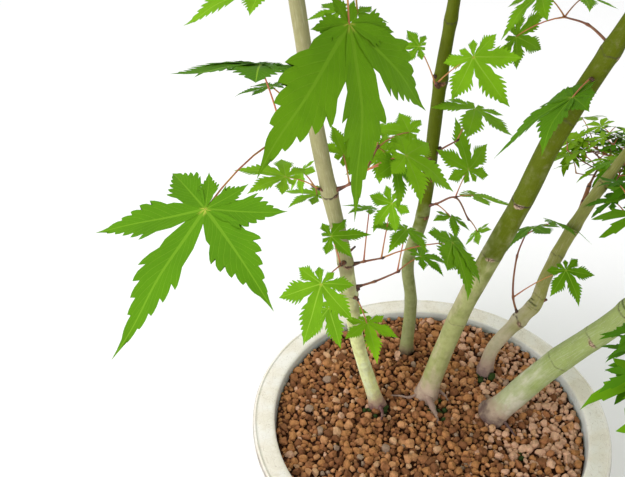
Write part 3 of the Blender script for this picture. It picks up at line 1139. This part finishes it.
# How single leaves differ from the usual ones: their lobes' turn in degrees, stretch and breadth,
# and their tone. The key is the spray and the leaf's place in it.
ownLobes = {
    ("spray-left-front", 0): {"turn": [-4, -10, 0, 0, 9, 0, 0], "wide": 1.08,
                              "scale": [1.05, 1.0, 1, 1.08, 1.08, 1.12, 1.1]},
    ("spray-left-front", 1): {"wide": 1.6},
    ("crown-front", 0): {"turn": [0, 22, 3, 0, -3, -20, 0], "wide": 1.2,
                         "scale": [0.6, 0.6, 1.38, 1.05, 1.14, 0.8, 0.6]},
    ("crown-front", 2): {"tone": 0.6},
    ("crown-front", 3): {"tone": 0.6},
    ("spray-left-right", 1): {"turn": [0, 0, 10, 0, -10, 0, 0], "scale": [1, 1, 1, 1.05, 1.1, 1, 1],
                              "wide": 1.35},
    ("spray-main-front", 0): {"wide": 1.45},
}
ownLobes |= {("spray-left-upper", k): {"scale": [1.22] * 7, "wide": 1.15} for k in range(6)}

finer = {
    "shootLength": 12, "shootSpread": 15, "turn": 45, "turnSpread": 50, "rise": -15, "riseSpread": 60,
    "shareStart": 0.1, "shareStep": 0.14, "boxSlack": 3, "seedShift": 100,
    "leafTurns": (0, -66, 66, -80, 80), "leafTurnSpread": 20, "lobe": 16, "lobeSpread": 9,
    "stalk": 9, "stalkRise": 10, "stalkRiseSpread": 25, "dip": 8, "dipSpread": 26, "rollSpread": 36,
}


# Finer shoots between the nodes of a grown twig. Each bears up to five smaller leaves, and one that
# would leave the spray's own box, or cross another leaf or a limb, isn't grown.
def growFiner(name, twigs, seed):
    f = finer
    random = makeRandom(seed + f["seedShift"])
    low, high = (np.array(cornerPoint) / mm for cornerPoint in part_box(name))
    low, high = low - f["boxSlack"], high + f["boxSlack"]
    shoots, leaves = [], []
    for twig in twigs:
        points = np.array(twig["points"])
        for start, end in zip(points[:-1], points[1:]):
            way = end - start
            heading = math.degrees(math.atan2(way[1], way[0]))
            for k, share in enumerate(np.arange(f["shareStart"], 1.01, f["shareStep"])):
                side = 1 if (k + twig["order"]) % 2 else -1
                root = start + way * share
                turn = heading + side * (f["turn"] + f["turnSpread"] * random())
                rise = f["rise"] + f["riseSpread"] * random()
                tip = root + direction(turn, rise) * (f["shootLength"] + f["shootSpread"] * random())
                grown = []
                for aside in f["leafTurns"]:
                    toward = turn + aside + f["leafTurnSpread"] * (random() - 0.5)
                    lobe = f["lobe"] + f["lobeSpread"] * random()
                    heel = tip if abs(aside) < 70 else root + (tip - root) * (0.55 + 0.05 * np.sign(aside))
                    stalkRise = f["stalkRise"] + f["stalkRiseSpread"] * random()
                    at = heel + direction(toward, stalkRise) * f["stalk"]
                    one = {"root": heel, "at": at, "heading": toward, "lobe": lobe,
                           "dip": f["dip"] + f["dipSpread"] * random(),
                           "roll": f["rollSpread"] * (random() - 0.5)}
                    ends = at + np.outer([0.75, 0.95], direction(toward, -one["dip"])) * lobe
                    if np.all(ends > low) and np.all(ends < high) and tryLeaf(one):
                        grown.append(one)
                if grown:
                    shoots.append({"points": [root, (root + tip) / 2 + (0, 0, -0.6), tip], "order": 2})
                    leaves += grown
    return shoots, leaves


def limbPath(name):
    kind, _, rest = name.partition("-")
    return stemPath(stems[rest]) if kind == "stem" else boughPath(boughs[rest])


# Every spray's twigs and leaves, grouped by the stem that bears it
def growAll():
    groups = {name: {"twigs": [], "large": [], "small": [], "crown": [], "nodes": []} for name in stems}
    rows = {}
    for name, (stem, path, leaves) in placedSprays.items():
        points = [np.array(point, float) for point in path]
        for k, row in enumerate(leaves):
            one = {"root": points[row[7]], "at": np.array(row[:3], float), "heading": row[3], "dip": row[4],
                   "roll": row[5], "lobe": row[6], "tone": sprayTone[name], "own": 0.5}
            one.update(ownLobes.get((name, k), {}))
            tryLeaf(one, True)
            groups[stem]["large" if row[6] > 40 else "small"].append(one)
        groups[stem]["twigs"].append({"points": points, "order": 0, "heel": True})
        groups[stem]["nodes"].append(name)
    for name, (on, height, heading, rise, nodes, seed) in grownSprays.items():
        twigs, leaves = [], []
        limbPoints = limbPath(on)
        root = curveAt(limbPoints, 1 if height is None else shareAt(limbPoints, height))
        if name == "crown-front":
            stalkRoot = root + direction(heading, rise) * growth["internode"] / 4
            for k, row in enumerate(frontLeaves):
                one = {"root": stalkRoot, "at": np.array(row[:3], float), "heading": row[3], "dip": row[4],
                       "roll": row[5], "lobe": row[6], "placed": True, "tone": sprayTone[name]}
                one.update(ownLobes.get((name, k), {}))
                leaves.append(one)
        growTwig(root, heading, rise, growth["internode"], nodes, 0, makeRandom(seed), twigs, leaves)
        leaves = [one for one in leaves if tryLeaf(one, one.get("placed", False))]
        rows[name] = (on, twigs, leaves, seed)
    for name, (on, twigs, leaves, seed) in rows.items():
        stem = on[5:] if on.startswith("stem-") else boughs[on[6:]][0]
        shoots, more = growFiner(name, twigs, seed)
        group = groups[stem]
        group["twigs"] += twigs + shoots
        for one in leaves + more:
            kind = ("large" if one["lobe"] > 40 else "small") if one.get("placed") else "crown"
            group[kind].append(dict(one, tint=seed % len(leaf["tints"])))
        group["nodes"].append(name)
    return groups


# Leaf finish up close: side veins, soft blotches, a fine grain and a yellow point at the foot
def closeLeafMaterial():
    material, tree, shader = newMaterial("closeLeaf", leaf["deep"], leaf["roughness"],
                                         Specular_IOR_Level=leaf["gloss"])
    vein = addNode(tree, "SeparateXYZ", Vector=field(tree, "veinPlace", True))
    along, aside, tone = vein.outputs
    slanted = maths(tree, "SUBTRACT", along, maths(tree, "MULTIPLY", aside, 0.75))
    slanted = maths(tree, "MULTIPLY", slanted, 13.0)
    saw = maths(tree, "ABSOLUTE", maths(tree, "SUBTRACT", maths(tree, "FRACT", slanted), 0.5))
    sideVein = maths(tree, "SUBTRACT", 1.0, ramp(tree, saw, 0.0, 0.09))
    place = objectPlace(tree)
    base = blend(tree, tone, leaf["deep"], leaf["bright"])
    base, mask = mottled(tree, place, base, leaf["tints"][3], leaf["tints"][4], 70.0, 1400.0, 0.22, 0.15)
    base = blend(tree, maths(tree, "MULTIPLY", sideVein, 0.22), base, leaf["ribColour"])
    foot = maths(tree, "SUBTRACT", 1.0, ramp(tree, along, 0.015, 0.06))
    base = blend(tree, foot, base, leaf["footColour"])
    tree.links.new(base, shader.inputs["Base Color"])
    grain = maths(tree, "MULTIPLY", noiseOf(tree, place, 1100.0, 2.0), 0.25)
    bumped(tree, shader, maths(tree, "SUBTRACT", grain, sideVein), 0.3, 0.0004)
    return material


# The ribs of the big near leaves: the blade's own tone, a little paler
def broadRibMaterial():
    material, tree, shader = newMaterial("leafRibBroad", leaf["bright"], leaf["roughness"],
                                         Specular_IOR_Level=leaf["gloss"])
    tone = addNode(tree, "SeparateXYZ", Vector=field(tree, "veinPlace", True)).outputs[2]
    base = blend(tree, tone, leaf["deep"], leaf["bright"])
    tree.links.new(blend(tree, leaf["ribShare"], base, leaf["ribColour"]), shader.inputs["Base Color"])
    return material


def leafMaterials():
    plain = [newMaterial(f"leafTint{k}", tint, leaf["roughness"], Specular_IOR_Level=leaf["gloss"])[0]
             for k, tint in enumerate(leaf["tints"])]
    rib = newMaterial("leafRib", leaf["ribColour"], leaf["roughness"], Specular_IOR_Level=leaf["gloss"])[0]
    return plain, rib, broadRibMaterial(), closeLeafMaterial()


# One mesh for each stem and kind of leaf: the photo's big and small leaves, and the crown's
def makeLeaves(groups):
    random = np.random.default_rng(leaf["seed"])
    plain, rib, broadRib, close = leafMaterials()
    templates = {kind: leafTemplate(values) for kind, values in leafKinds.items()}
    total = 0
    for name, group in groups.items():
        for kind, template in templates.items():
            leaves = group[kind]
            if not leaves:
                continue
            points = leafPoints(template, leaves, random)
            faces = repeated(template["faces"], len(leaves), points.shape[1])
            label = "leaves" + kind.title() + name.title().replace("-", "")
            if kind == "crown":
                tints = np.array([one["tint"] for one in leaves])
                shifted = random.random(len(leaves)) < leaf["tintShift"]
                tints = np.where(shifted, (tints + 1) % len(plain), tints)
                onRib = np.tile(template["slots"], len(leaves)) == 1
                slots = np.where(onRib, len(plain), np.repeat(tints, len(template["slots"])))
                piece = addPiece(label, points.reshape(-1, 3), [faces], [*plain, rib], slotOf=slots)
            else:
                tones = np.array([one["tone"] for one in leaves])
                tones = tones + leaf["toneSpread"] * random.normal(size=len(leaves))
                vein = np.stack([np.tile(template["share"], len(leaves)),
                                 np.tile(template["across"], len(leaves)),
                                 np.repeat(np.clip(tones, 0, 1), points.shape[1])], -1)
                materials = [close, broadRib if kind == "large" else rib]
                piece = addPiece(label, points.reshape(-1, 3), [faces], materials,
                                 slotOf=np.tile(template["slots"], len(leaves)), fields={"veinPlace": vein})
            finishSpray(group["nodes"])
            total += len(leaves)
            print(label, len(leaves), "leaves", 2 * len(faces), "triangles")
    print("leaves", total)


def finishSpray(nodes):
    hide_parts(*nodes)


# Twigs and leaf stalks

twigLook = {
    "radius": [0.85, 0.7, 0.5], "tip": [0.5, 0.45, 0.36], "stalkFoot": 0.6, "stalk": 0.42, "stalkTip": 0.36,
    "heel": 10, "heelThick": 2.6, "heelThin": 0.75,
    "colour": (0.23, 0.075, 0.04), "pale": (0.32, 0.15, 0.07), "node": (0.06, 0.03, 0.022),
    "stalkColour": (0.50, 0.15, 0.075), "stalkPale": (0.55, 0.30, 0.07),
}


def twigMaterial(name, colour, other, scale):
    material, tree, shader = newMaterial(name, colour, 0.5, Specular_IOR_Level=0.4)
    place = objectPlace(tree)
    base, mask = mottled(tree, place, colour, other, tuple(0.5 * c for c in colour), scale, 700.0, 0.8, 0.4)
    tree.links.new(base, shader.inputs["Base Color"])
    bumped(tree, shader, noiseOf(tree, place, 900.0), 0.3, 0.0003)
    return material


# Leaf stalks: an arc from the twig to the leaf's foot that bows upwards by a fourteenth of its span
def stalkBatch(leaves):
    start = np.array([one["root"] for one in leaves])
    end = np.array([one["at"] for one in leaves])
    poses = (np.array([one[key] for one in leaves], float) for key in ("heading", "dip", "roll"))
    frames = leafFrames(*poses)
    end = end + frames[:, 0] * 0.4 - frames[:, 2] * 0.25
    span = np.linalg.norm(end - start, axis=1)[:, None]
    middle = (start + end) / 2 + np.array([0, 0, 0.14]) * span
    u = np.linspace(0, 1, 6)[None, :, None]
    centres = start[:, None] * (1 - u) ** 2 + 2 * middle[:, None] * u * (1 - u) + end[:, None] * u ** 2
    t = twigLook
    share = np.linspace(0, 1, 6)
    radii = t["stalk"] + (t["stalkTip"] - t["stalk"]) * share
    radii = radii + (t["stalkFoot"] - t["stalk"]) * np.exp(-share * 9)
    return tubes(centres, np.repeat(radii[None], len(leaves), 0), 5)


# A twig: a tube that narrows from node to node and swells at each one
def twigBatch(twig):
    points = twig["points"]
    spans = len(points) - 1
    order = twig["order"]
    share = np.linspace(0, 1, (14 if order < 2 else 4) * spans + 1)
    radii = twigLook["radius"][order] + (twigLook["tip"][order] - twigLook["radius"][order]) * share
    nearest = np.abs(share * spans - np.round(share * spans))
    radii = radii * (1 + 0.45 * np.exp(-(nearest * 14) ** 2) * (share > 0.02))
    return tubes(curveAt(points, share)[None], radii[None], 8 if order < 2 else 5)


# A bud: a small pointed egg, as a short tube whose radius swells and closes
def budBatch(places, ways, size):
    share = np.linspace(0, 1, 7)
    centres = places[:, None] + ways[:, None] * (share[None, :, None] - 0.15) * size
    radii = 0.36 * size * np.sin(np.pi * np.minimum(share * 0.86 + 0.12, 1)) * (1 - 0.25 * share)
    return tubes(centres, np.repeat(radii[None], len(places), 0), 6)


# The dark cone round the heel of a twig that leaves a stem, and old stubs: stem, height, heading,
# rise, length from the stem's axis, and the radius at each end
stubs = [("left", 193, -8, 45, 9, 1.1, 0.6), ("back", 216, -10, 40, 7.5, 2.6, 1.2),
         ("left", 240, 150, 40, 7, 1.6, 0.9), ("back", 266, -150, 30, 6.5, 1.8, 1.0),
         ("left", 163, -20, 35, 7, 1.8, 1.0), ("right-back", 114, -20, 30, 8, 2.0, 0.8)]


def heelBatch(name, group):
    batches = []
    for stem, height, heading, rise, length, thick, thin in stubs:
        if stem == name:
            path = stemPath(stems[stem])
            root = curveAt(path, shareAt(path, height))
            share = np.linspace(0, 1, 8)
            way = direction(heading, rise) * length
            centres = root + way * share[:, None] + np.outer(share ** 2, (0, 0, 0.12 * length))
            batches.append((*tubes(centres[None], (thick + (thin - thick) * share)[None], 8), 2))
    for twig in group["twigs"]:
        if twig.get("heel"):
            points = np.array(twig["points"])
            span = np.linalg.norm(points[1] - points[0])
            share = np.linspace(0, 1, 9)
            centres = curveAt(points, share * min(twigLook["heel"] / span, 0.9) / (len(points) - 1))
            radii = twigLook["heelThick"] + (twigLook["heelThin"] - twigLook["heelThick"]) * share ** 0.8
            batches.append((*tubes(centres[None], radii[None], 9), 2))
    return batches


def makeTwigs(groups):
    t = twigLook
    bark = twigMaterial("twigBark", t["colour"], t["pale"], 120.0)
    stalk = twigMaterial("leafStalk", t["stalkColour"], t["stalkPale"], 60.0)
    bud = twigMaterial("bud", t["node"], t["colour"], 300.0)
    for name, group in groups.items():
        batches = [(*twigBatch(twig), 0) for twig in group["twigs"]] + heelBatch(name, group)
        leaves = group["large"] + group["small"] + group["crown"]
        batches.append((*stalkBatch(leaves), 1))
        ends = [twig["points"] for twig in group["twigs"] if twig["order"] < 2]
        places = np.array([points[k] for points in ends for k in range(1, len(points))])
        ways = unit(np.array([points[k] - points[k - 1] for points in ends for k in range(1, len(points))]))
        batches.append((*budBatch(places, ways, 2.8), 2))
        points, faces, slots = joined(batches)
        piece = addPiece("twigs" + name.title().replace("-", ""), points, faces, [bark, stalk, bud],
                         slotOf=slots)
        finishSpray(group["nodes"])


groups = growAll()
makeLeaves(groups)
makeTwigs(groups)
print("sprays made")
